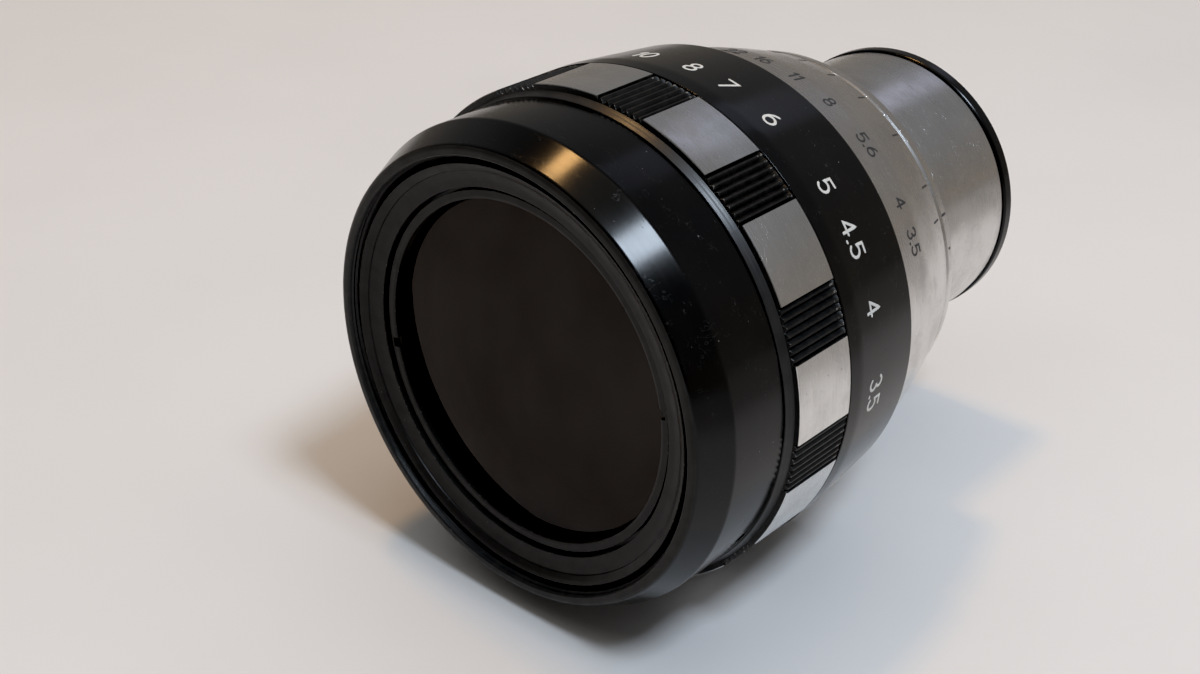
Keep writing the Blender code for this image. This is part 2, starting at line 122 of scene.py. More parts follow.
class Turned:
    """Where a turned CAD node lies: its front and rear stations, its bore and its outer radius."""

    def __init__(self, node):
        low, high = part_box(node)
        self.front, self.rear = low.y / MM, high.y / MM
        self.bore, self.outer = reach_of(node)


class RadialScrew:
    """Where a CAD screw that points outwards lies: its station, turn angle, ends and radius."""

    def __init__(self, node):
        low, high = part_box(node)
        centre = (low + high) / 2 / MM
        self.node, self.station = node, centre.y
        self.turn = degrees(atan2(centre.z, centre.x))
        self.inner, self.outer = reach_of(node)
        self.radius = (high.y - low.y) / 2 / MM


def on_axis_circle(radius, turn, station):
    """The point at a radius, turn angle and station."""
    angle = radians(turn)
    return Vector((radius * cos(angle), station, radius * sin(angle)))


# Meshes


def rounded(corners, closed=True):
    """Outline points (station, radius, wear) of corners (station, radius, rounding, rows).

    Each corner becomes a small arc with a narrow strip on either side, and an outward corner wears more the
    sharper it is. Rows, if given, splits the edge that leaves the corner, for a relief cut into it.
    """
    points = []
    count = len(corners)
    area = sum(corners[i - 1][0] * corners[i][1] - corners[i][0] * corners[i - 1][1] for i in range(count))
    for i, corner in enumerate(corners):
        here, following = Vector(corner[:2]), Vector(corners[(i + 1) % count][:2])
        rounding = corner[2] if len(corner) > 2 else 0.0
        if rounding and (closed or 0 < i < count - 1):
            back, ahead = Vector(corners[i - 1][:2]) - here, following - here
            reach = min(rounding, 0.45 * back.length, 0.45 * ahead.length)
            straight = [side.length > 2 * (reach + SUPPORT) for side in (back, ahead)]
            back.normalize()
            ahead.normalize()
            sharp = max(0.0, -back.cross(ahead) * copysign(1, area))
            start, end = here + back * reach, here + ahead * reach
            if straight[0]:
                points.append((*(start + back * SUPPORT), 0.0))
            for step in range(ARC_STEPS + 1):
                t = step / ARC_STEPS
                points.append((*(start * (1 - t) ** 2 + here * 2 * t * (1 - t) + end * t * t), sharp))
            if straight[1]:
                points.append((*(end + ahead * SUPPORT), 0.0))
        else:
            points.append((*here, 0.0))
        if len(corner) > 3:
            start = Vector(points[-1][:2])
            for row in range(1, corner[3]):
                points.append((*start.lerp(following, row / corner[3]), 0.0))
    return points


def add_object(name, data):
    """A new object in the scene."""
    thing = bpy.data.objects.new(name, data)
    bpy.context.scene.collection.objects.link(thing)
    return thing


def new_piece(name, vertices, faces, wear=None, materials=(), face_materials=None):
    """A smooth-shaded closed mesh object, from points in millimetres."""
    mesh = bpy.data.meshes.new(name)
    mesh.from_pydata([Vector(v) * MM for v in vertices], [], faces)
    if wear is not None:
        mesh.attributes.new("wear", "FLOAT", "POINT").data.foreach_set("value", wear)
    for material in materials:
        mesh.materials.append(material)
    if face_materials is not None:
        mesh.polygons.foreach_set("material_index", face_materials)
    bm = bmesh.new()
    bm.from_mesh(mesh)
    bmesh.ops.recalc_face_normals(bm, faces=bm.faces)
    bm.to_mesh(mesh)
    bm.free()
    return smooth(add_object(name, mesh))


def smooth(piece):
    """Smooth shading that breaks at sharp edges, with large faces keeping their own direction."""
    piece.data.shade_smooth()
    piece.data.set_sharp_from_angle(angle=SHARP_ANGLE)
    piece.modifiers.new("weighted normals", "WEIGHTED_NORMAL").keep_sharp = True
    return piece


def band(a, b, count):
    """Faces between two closed rings of points that start at a and b."""
    following = [*range(1, count), 0]
    return [(a + i, a + k, b + k, b + i) for i, k in enumerate(following)]


def lathe(name, outline, material, relief=None, segments=SEGMENTS):
    """A turned piece. relief(station, radius, angle) gives an added radius and a wear value."""
    solid = outline[0][1] == 0.0           # an outline that starts and ends on the axis
    rings = outline[1:-1] if solid else outline
    vertices, wear = [], []
    for station, radius, edge in rings:
        for i in range(segments):
            angle = FULL_TURN * i / segments
            added, rubbed = relief(station, radius, angle) if relief else (0.0, 0.0)
            r = radius + added
            vertices.append((r * cos(angle), station, r * sin(angle)))
            wear.append(max(edge, rubbed))
    faces = []
    for j in range(len(rings) - (1 if solid else 0)):
        faces += band(j * segments, (j + 1) % len(rings) * segments, segments)
    if solid:
        for ring, end in ((0, outline[0]), ((len(rings) - 1) * segments, outline[-1])):
            centre = len(vertices)
            vertices.append((0.0, end[0], 0.0))
            wear.append(0.0)
            faces += [(centre, ring + i, ring + (i + 1) % segments) for i in range(segments)]
    return new_piece(name, vertices, faces, wear, [material])


def helical_thread(front, rear, radius, pitch, depth, starts=1):
    """Relief of a thread on a wall at one radius; a negative depth makes its crests point inwards."""
    fade = 0.5                             # length over which it runs out at each end

    def relief(station, at, angle):
        if abs(at - radius) > 0.02 or not front < station < rear:
            return 0.0, 0.0
        turn = (station - starts * pitch * angle / FULL_TURN) / pitch
        height = 1 - abs(2 * (turn - floor(turn)) - 1)
        run_out = min(1.0, (station - front) / fade, (rear - station) / fade)
        return depth * height * run_out, height ** 4 * run_out
    return relief


def outwards(centre, turn):
    """The matrix that puts a shape at a point, with its X side pointing outwards at a turn angle."""
    return Matrix.Translation(centre * MM) @ Matrix.Rotation(-radians(turn), 4, "Y")


def block(centre, size, turn):
    """A cutter: a box that points outwards at a turn angle."""
    bm = bmesh.new()
    bmesh.ops.create_cube(bm, size=MM)
    bm.transform(outwards(centre, turn) @ Matrix.Diagonal((*size, 1)))
    return finish_cutter(bm)


def radial_rod(radius, turn, station, inner, outer):
    """A cutter: a round rod that points outwards at a turn angle."""
    bm = bmesh.new()
    bmesh.ops.create_cone(bm, cap_ends=True, segments=32, radius1=radius * MM, radius2=radius * MM,
                          depth=(outer - inner) * MM)
    centre = on_axis_circle((inner + outer) / 2, turn, station)
    bm.transform(outwards(centre, turn) @ Matrix.Rotation(pi / 2, 4, "Y"))
    return finish_cutter(bm)


def finish_cutter(bm):
    """Turns a bmesh into an object for cut() to use and remove."""
    mesh = bpy.data.meshes.new("cutter")
    bm.to_mesh(mesh)
    bm.free()
    return add_object("cutter", mesh)


def cut(piece, *cutters):
    """Cuts the cutters out of the piece and deletes them."""
    piece.modifiers.clear()
    for cutter in cutters:
        modifier = piece.modifiers.new("cut", "BOOLEAN")
        modifier.object = cutter
        modifier.operation = "DIFFERENCE"
    bpy.context.view_layer.update()
    evaluated = piece.evaluated_get(bpy.context.evaluated_depsgraph_get())
    mesh = bpy.data.meshes.new_from_object(evaluated)
    piece.modifiers.clear()
    piece.data = mesh
    for cutter in cutters:
        bpy.data.objects.remove(cutter)
    smooth(piece)


def cut_blocks(piece, turns, radius, station, size):
    """Cuts the same block out at several turn angles."""
    cut(piece, *(block(on_axis_circle(radius, turn, station), size, turn) for turn in turns))


def cut_screw_holes(piece, screws, radius, inner, outer):
    """Cuts a round hole where each screw lies, between two radii."""
    cut(piece, *(radial_rod(radius, s.turn, s.station, inner, outer) for s in screws))


def place(piece, body, node):
    """Puts a piece on its body and hides the CAD node that it stands for."""
    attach(piece, body)
    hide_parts(node)


def turned(name, corners, material, body, node):
    """Places a turned piece that stands for one CAD node."""
    place(lathe(name, rounded(corners), material), body, node)


# Materials


def shade(colour, factor):
    """A colour made darker or lighter."""
    return tuple(min(1.0, factor * c) for c in colour)


class Finish:
    """A material: one Principled BSDF and the nodes that drive it. Positions are in millimetres."""

    def __init__(self, name, colour, roughness, metallic=0.0, **inputs):
        self.material = bpy.data.materials.new(name)
        self.material.use_nodes = True
        self.nodes = self.material.node_tree.nodes
        self.links = self.material.node_tree.links
        self.surface = self.nodes["Principled BSDF"]
        inputs.update(Base_Color=(*colour, 1.0), Roughness=roughness, Metallic=metallic)
        self.set_all(self.surface, inputs)
        coordinates = self.add("ShaderNodeTexCoord")
        self.position = self.vector("SCALE", coordinates.outputs["Object"], Scale=1 / MM)
        split = self.add("ShaderNodeSeparateXYZ", Vector=self.position)
        self.x, self.y, self.z = split.outputs
        squares = self.plus(self.times(self.x, self.x), self.times(self.z, self.z))
        self.radius = self.math("SQRT", squares)

    def set(self, node, key, value):
        """Links or sets one input of a node."""
        socket = node.inputs[key]
        if isinstance(value, bpy.types.NodeSocket):
            self.links.new(value, socket)
        else:
            socket.default_value = value

    def set_all(self, node, inputs):
        for key, value in inputs.items():
            self.set(node, key.replace("_", " "), value)

    def add(self, kind, settings=None, **inputs):
        """A new node with its settings and inputs."""
        node = self.nodes.new(kind)
        for key, value in (settings or {}).items():
            setattr(node, key, value)
        self.set_all(node, inputs)
        return node

    def math(self, operation, first, second=0.0, third=0.0):
        node = self.add("ShaderNodeMath", {"operation": operation})
        for i, value in enumerate((first, second, third)):
            self.set(node, i, value)
        return node.outputs[0]

    def times(self, *values):
        return self.math("MULTIPLY", *values)

    def plus(self, *values):
        return self.math("ADD", *values)

    def less(self, *values):
        return self.math("SUBTRACT", *values)

    def most(self, *values):
        return self.math("MAXIMUM", *values)

    def vector(self, operation, first, second=None, **inputs):
        node = self.add("ShaderNodeVectorMath", {"operation": operation}, **inputs)
        self.set(node, 0, first)
        if second is not None:
            self.set(node, 1, second)
        return node.outputs["Value" if operation == "DOT_PRODUCT" else "Vector"]

    def noise(self, scale, detail=3.0, rough=0.55, at=None, stretch=None):
        """Noise from 0 to 1 with features about 1/scale millimetres across."""
        at = self.position if at is None else at
        if stretch:
            at = self.vector("MULTIPLY", at, stretch)
        node = self.add("ShaderNodeTexNoise", Vector=at, Scale=scale, Detail=detail, Roughness=rough)
        return node.outputs["Fac"]

    def ramp(self, value, low, high, bottom=0.0, top=1.0):
        """Eases from bottom to top as the value goes from low to high."""
        node = self.add("ShaderNodeMapRange", {"interpolation_type": "SMOOTHSTEP"}, Value=value,
                        From_Min=low, From_Max=high, To_Min=bottom, To_Max=top)
        return node.outputs["Result"]

    def mix(self, factor, first, second):
        """Mixes two colours."""
        node = self.add("ShaderNodeMix", {"data_type": "RGBA"})
        self.set(node, 0, factor)
        for colour_input, colour in ((6, first), (7, second)):
            linked = isinstance(colour, bpy.types.NodeSocket)
            self.set(node, colour_input, colour if linked else (*colour, 1.0))
        return node.outputs[2]

    def mix_shaders(self, factor, first, second):
        node = self.add("ShaderNodeMixShader", Fac=factor)
        self.set(node, 1, first)
        self.set(node, 2, second)
        return node.outputs[0]

    def turned_lines(self, scale):
        """Fine lines left by the lathe: they change along the axis and across a face, not round it."""
        at = self.add("ShaderNodeCombineXYZ", X=self.y, Y=self.radius).outputs[0]
        return self.noise(scale, detail=4.0, rough=0.7, at=at)

    def scratches(self, scale, stretch, width, amount):
        """Sparse hairlines: the thin contours of a stretched noise, shown only in patches."""
        lines = self.noise(scale, detail=1.0, stretch=stretch)
        near = self.math("ABSOLUTE", self.less(lines, 0.5))
        clumps = self.noise(0.35, detail=2.0, stretch=(1.0, 1.7, 1.3))
        patches = self.ramp(clumps, 1 - amount, 1.02 - amount)
        return self.times(self.ramp(near, width, 0.0), patches)

    def specks(self, scale, size, share):
        """Dust: small spots in a share of the cells of a Voronoi texture."""
        cells = self.add("ShaderNodeTexVoronoi", Vector=self.position, Scale=scale)
        chosen = self.add("ShaderNodeSeparateColor", Color=cells.outputs["Color"]).outputs[0]
        spot = self.ramp(cells.outputs["Distance"], size, size * 0.5)
        return self.times(spot, self.math("GREATER_THAN", chosen, 1 - share))

    def wear(self, low, high, scale=1.3):
        """Bare edges: the mesh's wear attribute broken up by noise."""
        edge = self.add("ShaderNodeAttribute", {"attribute_name": "wear"}).outputs["Fac"]
        broken = self.times(edge, self.noise(scale, detail=5.0, rough=0.7))
        return self.ramp(broken, low, high)

    def colour(self, base, *layers):
        """Sets the base colour: layers of (mask, share, colour) laid over a base."""
        for mask, share, colour in layers:
            base = self.mix(self.times(mask, share), base, colour)
        self.set(self.surface, "Base Color", base)

    def roughness(self, value):
        self.set(self.surface, "Roughness", value)

    def metallic(self, value):
        self.set(self.surface, "Metallic", value)

    def bump(self, height, depth):
        """Bump with a depth in millimetres."""
        node = self.add("ShaderNodeBump", Height=height, Strength=1.0, Distance=depth * MM)
        self.set(self.surface, "Normal", node.outputs["Normal"])


def black_enamel():
    """Glossy black: turned lines under the paint, hairlines, dust, and edges rubbed to grey metal."""
    f = Finish("black_enamel", (0.002, 0.002, 0.002), 0.15, Specular_IOR_Level=0.26)
    lines = f.turned_lines(9.0)
    clouds = f.noise(0.12, detail=4.0)
    marks = f.most(f.scratches(1.1, (0.5, 1.4, 0.8), 0.006, 0.42),
                   f.scratches(0.8, (1.2, 0.25, 1.0), 0.005, 0.40))
    dust = f.most(f.specks(0.55, 0.08, 0.08), f.specks(1.6, 0.10, 0.03))
    bare = f.wear(0.68, 0.76, 1.9)
    base = f.mix(f.ramp(clouds, 0.4, 0.7), (0.0015, 0.0015, 0.0016), (0.0030, 0.0027, 0.0025))
    f.colour(base, (marks, 0.20, (0.10, 0.10, 0.10)), (dust, 0.40, (0.34, 0.32, 0.30)),
             (bare, 0.7, (0.26, 0.25, 0.24)))
    rough = f.plus(f.ramp(lines, 0.3, 0.7, 0.12, 0.18), f.ramp(clouds, 0.35, 0.75, 0.0, 0.04))
    f.roughness(f.plus(rough, f.times(f.most(marks, dust), 0.3)))
    f.metallic(f.times(bare, 0.6))
    f.bump(f.less(f.times(lines, 0.35), f.times(marks, 0.5)), 0.004)
    return f.material


def satin_aluminium(name, colour, line_depth):
    """Bright turned aluminium: fine lines round the axis, soft stains, hairlines and small nicks."""
    f = Finish(name, colour, 0.25, 1.0, Anisotropic=0.35)
    lines = f.turned_lines(14.0)
    coarse = f.turned_lines(3.0)
    stains = f.noise(0.16, detail=5.0, rough=0.6)
    marks = f.most(f.scratches(0.9, (0.35, 1.6, 0.7), 0.006, 0.46),
                   f.scratches(0.7, (1.5, 0.3, 1.1), 0.004, 0.44))
    nicks = f.specks(0.9, 0.12, 0.06)
    dull, light = shade(colour, 0.80), shade(colour, 1.22)
    base = f.mix(f.ramp(stains, 0.35, 0.72), colour, dull)
    f.colour(base, (f.ramp(lines, 0.35, 0.7), 0.45, dull), (marks, 0.7, light),
             (nicks, 0.6, (0.10, 0.09, 0.08)))
    rough = f.plus(f.ramp(lines, 0.25, 0.75, 0.17, 0.27), f.ramp(stains, 0.4, 0.7, 0.0, 0.08))
    f.roughness(f.plus(rough, f.times(f.ramp(coarse, 0.4, 0.6), 0.03)))
    height = f.plus(lines, f.times(coarse, 0.5))
    f.bump(f.less(height, marks), line_depth)
    return f.material


def worn_grey(name, colour, roughness):
    """Matt grey-black of the front rings: turned lines, rubbed patches and dust."""
    f = Finish(name, colour, roughness, Specular_IOR_Level=0.18)
    lines = f.turned_lines(6.0)
    patches = f.noise(0.5, detail=6.0, rough=0.65)
    dust = f.most(f.specks(1.1, 0.10, 0.10), f.specks(2.6, 0.11, 0.06))
    bare = f.wear(0.52, 0.66, 2.0)
    dark = shade(colour, 0.55)
    base = f.mix(f.ramp(patches, 0.35, 0.7), colour, dark)
    f.colour(base, (f.ramp(lines, 0.4, 0.7), 0.4, dark), (bare, 0.5, (0.22, 0.21, 0.20)),
             (dust, 0.35, (0.30, 0.28, 0.26)))
    f.roughness(f.ramp(patches, 0.3, 0.7, roughness - 0.05, roughness + 0.07))
    f.bump(f.plus(lines, f.times(patches, 0.4)), 0.008)
    return f.material


def crinkled_black():
    """Rough black of the ridges and the worn filter thread: pitted, with crests rubbed bright in spots."""
    f = Finish("crinkled_black", (0.006, 0.006, 0.006), 0.5, Specular_IOR_Level=0.35)
    grain = f.noise(3.5, detail=6.0, rough=0.7)
    dirt = f.noise(0.9, detail=4.0)
    bare = f.wear(0.52, 0.60, 2.4)
    dust = f.specks(1.7, 0.11, 0.06)
    base = f.mix(f.ramp(dirt, 0.4, 0.7), (0.004, 0.004, 0.004), (0.011, 0.010, 0.009))
    f.colour(base, (dust, 0.4, (0.26, 0.24, 0.22)), (bare, 0.8, (0.42, 0.40, 0.37)))
    f.roughness(f.ramp(grain, 0.3, 0.7, 0.32, 0.60))
    f.metallic(f.times(bare, 0.6))
    f.bump(grain, 0.02)
    return f.material


def anodised_black(name, roughness=0.35):
    """Black anodised metal of the cells and inner rings."""
    f = Finish(name, (0.012, 0.012, 0.013), roughness, Specular_IOR_Level=0.45)
    lines = f.turned_lines(5.0)
    clouds = f.noise(0.3, detail=4.0)
    bare = f.wear(0.62, 0.74)
    base = f.mix(f.ramp(clouds, 0.35, 0.7), (0.009, 0.009, 0.010), (0.019, 0.018, 0.017))
    f.colour(base, (f.specks(1.2, 0.10, 0.05), 0.4, (0.22, 0.21, 0.19)), (bare, 0.5, (0.20, 0.19, 0.18)))
    f.roughness(f.ramp(lines, 0.3, 0.7, roughness - 0.08, roughness + 0.10))
    f.bump(lines, 0.01)
    return f.material


def machined(name, colour, roughness):
    """Bare machined metal: turned lines, oil stains and small scratches."""
    f = Finish(name, colour, roughness, 1.0)
    lines = f.turned_lines(8.0)
    oil = f.noise(0.4, detail=5.0)
    marks = f.scratches(1.5, (0.6, 1.2, 0.9), 0.008, 0.5)
    base = f.mix(f.ramp(oil, 0.35, 0.7), colour, shade(colour, 0.6))
    f.colour(base, (marks, 0.5, shade(colour, 1.3)))
    f.roughness(f.plus(f.ramp(oil, 0.3, 0.7, roughness - 0.08, roughness + 0.08),
                       f.times(lines, 0.05)))
    f.bump(lines, 0.008)
    return f.material


def filled(name, colour, roughness):
    """Paint in the engraved figures: slightly uneven, with small chips and grime."""
    f = Finish(name, colour, roughness)
    grime = f.noise(1.8, detail=5.0, rough=0.65)
    f.colour(f.mix(f.ramp(grime, 0.45, 0.8), colour, shade(colour, 0.72)))
    f.roughness(f.ramp(grime, 0.3, 0.7, roughness - 0.1, roughness + 0.15))
    f.bump(grime, 0.012)
    return f.material


def coated_glass(name, tint, sheen, strength, dusty_share):
    """Clear glass seen through a tint, with the coloured reflection of an old single coating."""
    f = Finish(name, tint, 0.02)
    smears = f.noise(0.09, detail=4.0, stretch=(1.0, 1.0, 0.6))
    dust = f.most(f.specks(0.45, 0.06, 0.07), f.specks(1.3, 0.08, 0.03))
    through = f.add("ShaderNodeBsdfTransparent", Color=(*tint, 1.0))
    mirrored = f.mix(f.ramp(smears, 0.35, 0.7), sheen, shade(sheen, 0.75))
    gloss = f.add("ShaderNodeBsdfGlossy", Color=mirrored, Roughness=f.ramp(smears, 0.3, 0.75, 0.015, 0.05))
    grazing = f.math("POWER", f.add("ShaderNodeLayerWeight", Blend=0.5).outputs["Facing"], 8.0)
    amount = f.math("MULTIPLY_ADD", grazing, 1 - strength, strength)
    coat = f.mix_shaders(amount, through.outputs[0], gloss.outputs[0])
    speck = f.add("ShaderNodeBsdfDiffuse", Color=(0.30, 0.28, 0.26, 1.0))
    dusty = f.mix_shaders(f.times(dust, dusty_share), coat, speck.outputs[0])
    f.links.new(dusty, f.nodes["Material Output"].inputs["Surface"])
    f.nodes.remove(f.surface)
    return f.material


def pale_floor():
    """A pale matt table with painted shade, which darkens it softly beyond a line outside the picture so
    that the silver rings reflect a darker tone.
    """
    f = Finish("pale_table", (0.8, 0.79, 0.78), 0.55)
    clouds = f.noise(0.01, detail=3.0)
    grain = f.noise(0.8, detail=4.0)
    pale = f.mix(f.ramp(clouds, 0.3, 0.7), (0.80, 0.785, 0.775), (0.77, 0.755, 0.745))
    # painted shade: beyond a line outside the picture the table is darkened to a dull brown, for darker
    # reflections in the silver rings
    painted_shade = f.ramp(f.vector("DOT_PRODUCT", f.position, PAINTED_SHADE_SIDE), *PAINTED_SHADE_RANGE)
    f.colour(f.mix(painted_shade, pale, (0.42, 0.395, 0.37)))
    f.roughness(f.ramp(grain, 0.3, 0.7, 0.5, 0.62))
    f.bump(grain, 0.01)
    return f.material


BLACK = black_enamel()
GREY_FACE = worn_grey("worn_grey_face", (0.020, 0.0185, 0.017), 0.36)
GREY_RING = worn_grey("worn_grey_ring", (0.014, 0.0125, 0.0115), 0.33)
CRINKLE = crinkled_black()
BRIGHT = satin_aluminium("zebra_aluminium", (0.76, 0.75, 0.735), 0.004)
SATIN = satin_aluminium("satin_aluminium", (0.74, 0.725, 0.71), 0.007)
ANODISED = anodised_black("anodised_black")
MATT = anodised_black("matt_black", 0.7)
BRASS = machined("brass", (0.55, 0.42, 0.20), 0.32)
STEEL = machined("steel", (0.25, 0.25, 0.26), 0.30)
BLUED = machined("blued_steel", (0.05, 0.05, 0.06), 0.35)
DARK_STEEL = machined("dark_steel", (0.34, 0.36, 0.40), 0.24)
WHITE_FILL = filled("white_fill", (0.72, 0.71, 0.68), 0.5)
DARK_FILL = filled("dark_fill", (0.03, 0.03, 0.032), 0.45)
GLASS_FRONT = coated_glass("coated_glass_front", (0.20, 0.185, 0.175), (1.0, 0.88, 0.80), 0.026, 0.12)
GLASS_INNER = coated_glass("coated_glass_inner", (0.86, 0.83, 0.81), (0.9, 0.80, 0.76), 0.004, 0.0)


# Head of the lens, which slides when it is focused


def front_barrel():
    """Black barrel: grey worn face, bevel, short cylinder with two screw holes, and the filter thread."""
    at = Turned("front_barrel")
    face, lip, wall = at.front, 30.5, 31.6
    root = lip + 0.2
    thread_front, thread_rear, recess_floor = face + 0.4, face + 3.7, face + 4.1
    pitch, thread_depth, thread_rows = 0.75, 0.28, 34
    skirt = at.rear - 7.4
    corners = [
        (face, lip + 0.45, 0.1), (face, 31.75, 0.25), (face + 0.3, 32.3, 0.3),
        (face + 4.9, at.outer, 0.25), (at.rear, at.outer, 0.2), (at.rear, wall, 0.1),
        (skirt, wall), (skirt, at.bore), (recess_floor, at.bore, 0.1),
        (recess_floor, root), (thread_rear, root, 0.0, thread_rows), (face + 0.35, root),
    ]
    thread = helical_thread(thread_front, thread_rear, root, pitch, -thread_depth)
    barrel = lathe("front_barrel_shell", rounded(corners), BLACK, thread)
    screws = [RadialScrew(name) for name in ("barrel_screw_1", "barrel_screw_2")]
    cut_screw_holes(barrel, screws, SCREW_HOLE, wall - 1, at.outer + 1)
    paint_front_face(barrel, face, lip)
    place(barrel, "lens_head", "front_barrel")
    sunk = 0.45
    for screw in screws:
        grub_screw(screw, "lens_head", at.outer - sunk)


def paint_front_face(barrel, face, lip):
    """The face ring is bare worn grey and the thread behind it is rough black."""
    black, grey, rough = range(3)
    zones = [(rough, face + 4.2, lip + 0.55), (grey, face + 0.45, 32.2), (black, inf, inf)]
    barrel.data.materials.clear()
    for material in (BLACK, GREY_FACE, CRINKLE):
        barrel.data.materials.append(material)
    for polygon in barrel.data.polygons:
        x, y, z = polygon.center / MM
        polygon.material_index = next(finish for finish, station, radius in zones
                                      if y < station and hypot(x, z) < radius)


def grub_screw(screw, body, top):
    """A slotted grub screw with a chamfered head, turned about its own radial axis."""
    sides, chamfer = 32, 0.12
    slot_width, slot_depth = screw.radius * 0.35, 0.35
    top = min(top, screw.outer)
    rows = [(screw.radius, screw.inner), (screw.radius, top - chamfer), (screw.radius - chamfer, top)]
    vertices, faces = [], []
    for across, up in rows:
        for i in range(sides):
            angle = FULL_TURN * i / sides
            vertices.append((up, across * cos(angle), across * sin(angle)))
    for j in range(len(rows) - 1):
        faces += band(j * sides, (j + 1) * sides, sides)
    faces.append(tuple(range(sides)))
    faces.append(tuple((len(rows) - 1) * sides + i for i in range(sides)))
    rotation = Matrix.Rotation(-radians(screw.turn), 3, "Y")
    lift = Vector((0.0, screw.station, 0.0))
    piece = new_piece(screw.node + "_slotted", [rotation @ Vector(v) + lift for v in vertices], faces,
                      materials=[STEEL])
    cut_blocks(piece, [screw.turn], top, screw.station, (2 * slot_depth, slot_width, 3 * screw.radius))
    place(piece, body, screw.node)


def front_trim():
    """The dished trim ring and the notched retaining ring in front of the glass."""
    at = Turned("front_trim_ring")
    corners = [
        (at.front + 0.9, at.outer, 0.08), (at.rear, at.outer, 0.1), (at.rear, at.bore, 0.05),
        (at.front + 1.35, at.bore, 0.06), (at.front + 1.2, 27.2, 0.3), (at.front + 0.85, 28.4, 0.08),
        (at.front + 0.62, 28.45, 0.06), (at.front + 0.2, 29.1, 0.2), (at.front, 29.6, 0.08),
    ]
    turned("front_trim_dish", corners, GREY_RING, "lens_head", "front_trim_ring")

    ring = Turned("front_retaining_ring")
    corners = [
        (ring.front + 0.1, ring.bore, 0.08), (ring.front, ring.bore + 0.35, 0.08),
        (ring.front, ring.outer, 0.1), (ring.rear, ring.outer, 0.1), (ring.rear, ring.bore, 0.05),
    ]
    piece = lathe("front_retaining_ring_notched", rounded(corners), GREY_RING)
    cut_blocks(piece, SPANNER_NOTCHES, ring.bore, ring.front, (1.7, 1.4, 1.4))
    place(piece, "lens_head", "front_retaining_ring")


def spherical(edge_station, sag, edge_radius):
    """Points of a spherical surface from the axis to its edge; a positive sag bulges towards the front."""
    if sag == 0.0:
        return [(edge_station, 0.0, 0.0), (edge_station, edge_radius, 0.0)]
    curve = (edge_radius ** 2 + sag ** 2) / (2 * abs(sag))
    steps, points = 20, []
    for i in range(steps + 1):
        radius = edge_radius * i / steps
        height = sqrt(curve ** 2 - radius ** 2) - (curve - abs(sag))
        points.append((edge_station - copysign(height, sag), radius, 0.0))
    return points


def glass(node, front_sag, rear_sag, material):
    """A lens element with polished faces; sag is how far a face's middle stands in front of its edge."""
    at = Turned(node)
    outline = spherical(at.front + max(front_sag, 0.0), front_sag, at.outer)
    outline += spherical(at.rear + min(rear_sag, 0.0), rear_sag, at.outer)[::-1]
    place(lathe(node + "_polished", outline, material), "lens_head", node)


def head_optics():
    """Glass, spacer and rings of the front group, and the cell that holds them."""
    glass("front_element", 2.6, 0.0, GLASS_FRONT)
    glass("second_element", 1.8, 0.9, GLASS_INNER)
    glass("third_element", -1.2, 2.0, GLASS_INNER)

    spacer = Turned("front_spacer")
    corners = [(spacer.front, spacer.bore, 0.15), (spacer.front, spacer.outer, 0.1),
               (spacer.rear, spacer.outer, 0.1), (spacer.rear, spacer.bore, 0.15)]
    turned("front_spacer_ring", corners, ANODISED, "lens_head", "front_spacer")

    ring = Turned("inner_retaining_ring")
    corners = [(ring.front, ring.bore + 0.7, 0.12), (ring.front, ring.outer, 0.1),
               (ring.rear, ring.outer, 0.1), (ring.rear, ring.bore, 0.08),
               (ring.rear - 0.5, ring.bore, 0.05)]
    turned("inner_retaining_ring_turned", corners, GREY_RING, "lens_head",
           "inner_retaining_ring")

    cell = Turned("optical_cell")
    wide, waist, seat, mouth, pocket = 26.9, 24.5, 22.7, 25.3, 18.8
    front = cell.front
    corners = [
        (front, mouth, 0.1), (front, wide, 0.1), (front + 7.2, wide, 0.1), (front + 7.2, waist, 0.05),
        (cell.rear, waist, 0.1), (cell.rear, cell.bore, 0.1), (cell.rear - 2.2, cell.bore, 0.1),
        (cell.rear - 2.2, pocket), (front + 10.1, pocket, 0.1), (front + 10.1, seat),
        (front + 6.6, seat, 0.1), (front + 6.6, mouth),
    ]
    turned("optical_cell_turned", corners, ANODISED, "lens_head", "optical_cell")


def male_helicoid():
    """Brass tube with the focusing thread outside and two keyways through its wall."""
    at = Turned("male_helicoid")
    starts, thread_depth, thread_rows = 8, 0.33, 96
    pitch = FOCUS_TRAVEL * 360 / FOCUS_TURN / starts
    root = at.outer - 0.35
    thread_front, thread_rear = at.front + 0.6, at.rear - 0.3
    neck, wide_bore = at.front + 3.5, 28.7
    corners = [
        (at.front, at.bore, 0.1), (at.front, root, 0.1), (thread_front, root, 0.0, thread_rows),
        (thread_rear, root), (at.rear, root, 0.1), (at.rear, wide_bore, 0.1), (neck, wide_bore, 0.1),
        (neck, at.bore, 0.1),
    ]
    thread = helical_thread(thread_front, thread_rear, root, pitch, thread_depth, starts)
    tube = lathe("male_helicoid_threaded", rounded(corners), BRASS, thread)
    wall_middle, keyway_middle = 30.0, at.rear - 3.6
    cut_blocks(tube, KEYWAYS, wall_middle, keyway_middle, (6.0, 13.2, 3.5))
    place(tube, "lens_head", "male_helicoid")


